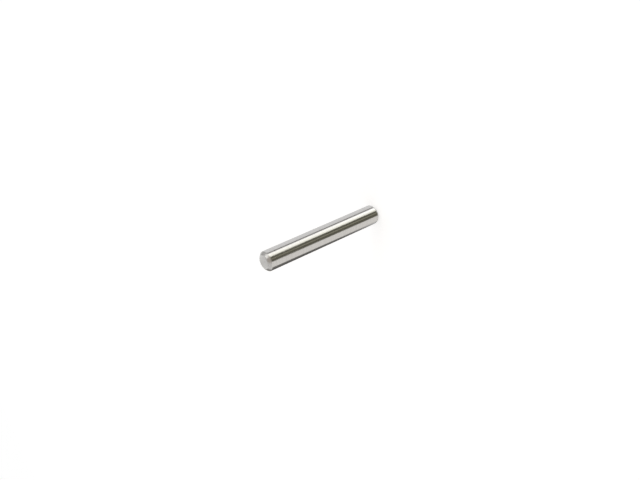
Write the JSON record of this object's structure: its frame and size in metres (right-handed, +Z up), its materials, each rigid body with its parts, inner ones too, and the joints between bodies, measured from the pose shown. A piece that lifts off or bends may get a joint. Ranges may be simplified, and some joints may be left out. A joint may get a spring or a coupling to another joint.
{
  "type": "straight dowel pin",
  "caption": "Straight solid steel dowel pin with flat ends and short rounded lead-ins, pressed into matching holes to locate or hold parts.",
  "frame": {"origin": "centre of the lower end face, which the pin stands on", "axes": "+Z up along the pin's axis; the pin is round, so X and Y are free"},
  "size_m": [0.008, 0.008, 0.055],
  "materials": {
    "ground_steel": "bright ground shank, satin turned ends"
  },
  "bodies": {
    "root": {"pin": "ground_steel"}
  },
  "joints": []
}
